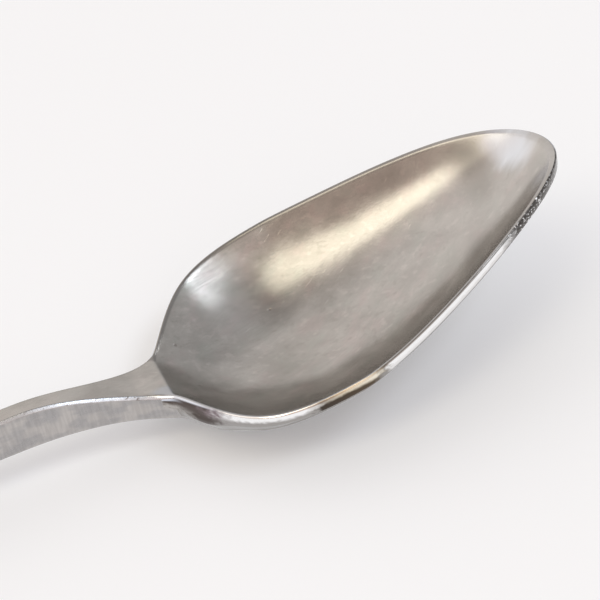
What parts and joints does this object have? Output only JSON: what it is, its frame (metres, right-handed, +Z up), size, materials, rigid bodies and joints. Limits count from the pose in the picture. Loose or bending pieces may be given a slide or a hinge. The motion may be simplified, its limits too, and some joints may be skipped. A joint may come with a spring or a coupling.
{
  "type": "teaspoon",
  "caption": "Teaspoon with a deep pointed-oval bowl, narrow sloping shoulders and a slim arched stem that widens into a plain flat rounded end.",
  "frame": {"origin": "on the table, at the middle of the bottom of the spoon's box", "axes": "+X along the spoon towards the tip of the bowl, +Y across it to the left as seen from the handle, +Z up out of the bowl"},
  "size_m": [0.1432, 0.031, 0.0172],
  "materials": {
    "steel": "worn satin grey in the bowl and on the stem, polished on the ground edges"
  },
  "bodies": {
    "root": {"bowl": "steel", "handle": "steel"}
  },
  "joints": []
}
